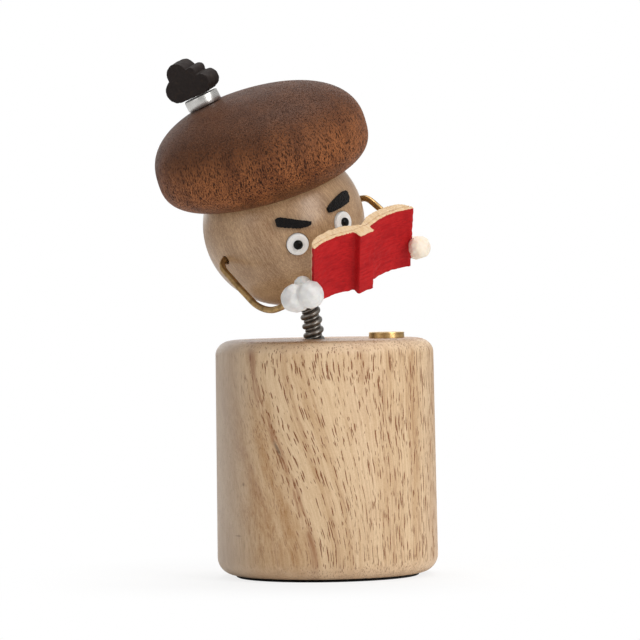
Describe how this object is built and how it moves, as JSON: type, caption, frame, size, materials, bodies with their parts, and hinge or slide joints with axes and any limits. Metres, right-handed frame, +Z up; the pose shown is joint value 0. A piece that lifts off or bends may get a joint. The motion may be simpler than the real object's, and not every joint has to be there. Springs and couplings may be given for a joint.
{
  "type": "wooden crank automaton",
  "caption": "Turned wooden cylinder with a ball-headed reading figure in a beret on a bendable neck, turned by a rear crank through a friction wheel and gears",
  "frame": {"origin": "middle of the underside of the felt pad that the base stands on", "axes": "+Z up the base's axis, -Y towards the viewer in front, so the crank is at +Y; +X to the viewer's right"},
  "size_m": [0.0813, 0.1121, 0.1533],
  "materials": {
    "base_wood": "oiled, pale tan with dark pores",
    "head_wood": "oiled, fine grain",
    "hat_wood": "oiled, dark red-brown with black pores",
    "inner_wood": "plain plywood or beech, unfinished",
    "book_red": "red stain, matte",
    "book_cream": "bare pale wood",
    "felt": "dark felt",
    "brass": "brushed",
    "wire_brass": "aged wire",
    "dark_steel": "dark bright-drawn",
    "steel": "plain",
    "nickel": "nickel plated",
    "rubber": "matte",
    "cloud_black": "matte",
    "hand_white": "satin, hand-formed",
    "eye_white": "satin",
    "eye_black": "satin"
  },
  "bodies": {
    "base": {"base_block": "base_wood", "base_cover": "inner_wood", "cover_screw_1": "steel", "cover_screw_2": "steel", "cover_screw_3": "steel", "base_pad": "felt", "crank_bush": "brass", "spindle_bush": "brass", "stage_bush": "brass"},
    "crank": {"crank_shaft": "steel", "drive_wheel": "inner_wood", "wheel_tyre": "rubber", "shaft_collar": "steel", "crank_arm": "hat_wood", "crank_screw": "brass", "knob_pin": "steel"},
    "knob": {"crank_knob": "head_wood"},
    "spindle": {"neck_spindle": "steel", "friction_disc": "inner_wood", "spindle_gear": "brass", "spindle_collar": "steel", "neck_ferrule": "steel"},
    "stage": {"stage_disc": "brass", "stage_pinion": "brass"},
    "neck": {"neck_round_coil": "dark_steel", "neck_wedge_coil": "dark_steel"},
    "head": {"head_ball": "head_wood", "hat": "hat_wood", "hat_dowel": "inner_wood", "hat_screw": "steel", "left_arm": "wire_brass", "right_arm": "wire_brass", "book_cover": "book_red", "book_pages": "book_cream", "left_hand": "hand_white", "right_hand": "hand_white", "left_eye": "eye_white", "right_eye": "eye_white", "left_pupil": "eye_black", "right_pupil": "eye_black", "left_eyebrow": "felt", "right_eyebrow": "felt"},
    "magnet": {"cloud_magnet": "nickel"},
    "cloud": {"cloud": "cloud_black", "cloud_pin": "steel"}
  },
  "joints": [
    {"name": "head_turn", "type": "hinge", "parent": "base", "child": "spindle", "pos_m": [-0.0028, 0, 0.062], "axis": [0, 0, 1], "continuous": true},
    {"name": "crank_spin", "type": "hinge", "parent": "base", "child": "crank", "pos_m": [-0.0028, 0.0312, 0.034], "axis": [0, 1, 0], "continuous": true},
    {"name": "stage_turn", "type": "hinge", "parent": "base", "child": "stage", "pos_m": [0.01845, 0, 0.064], "axis": [0, 0, 1], "continuous": true},
    {"name": "knob_spin", "type": "hinge", "parent": "crank", "child": "knob", "pos_m": [-0.0028, 0.045, 0.018], "axis": [0, 1, 0], "continuous": true},
    {"name": "neck_nod", "type": "hinge", "parent": "spindle", "child": "neck", "pos_m": [-0.00364, -0.00071, 0.07592], "axis": [0.6428, -0.766, 0], "range_deg": [-40, 15], "deforming": ["neck_round_coil", "neck_wedge_coil"]},
    {"name": "neck_sway", "type": "hinge", "parent": "neck", "child": "head", "pos_m": [-0.00496, -0.00181, 0.08172], "axis": [-0.7185, -0.6029, -0.3469], "range_deg": [-15, 15], "deforming": ["neck_round_coil", "neck_wedge_coil"]},
    {"name": "cloud_lift", "type": "slide", "parent": "head", "child": "magnet", "axis": [-0.4289, -0.1087, 0.8968], "range_m": [0, 0.012]},
    {"name": "cloud_turn", "type": "hinge", "parent": "magnet", "child": "cloud", "pos_m": [-0.03375, -0.00809, 0.13944], "axis": [-0.4289, -0.1087, 0.8968], "continuous": true}
  ],
  "couplings": [
    {"joint": "crank_spin", "follows": "head_turn", "ratio": -1},
    {"joint": "stage_turn", "follows": "head_turn", "ratio": -2}
  ]
}
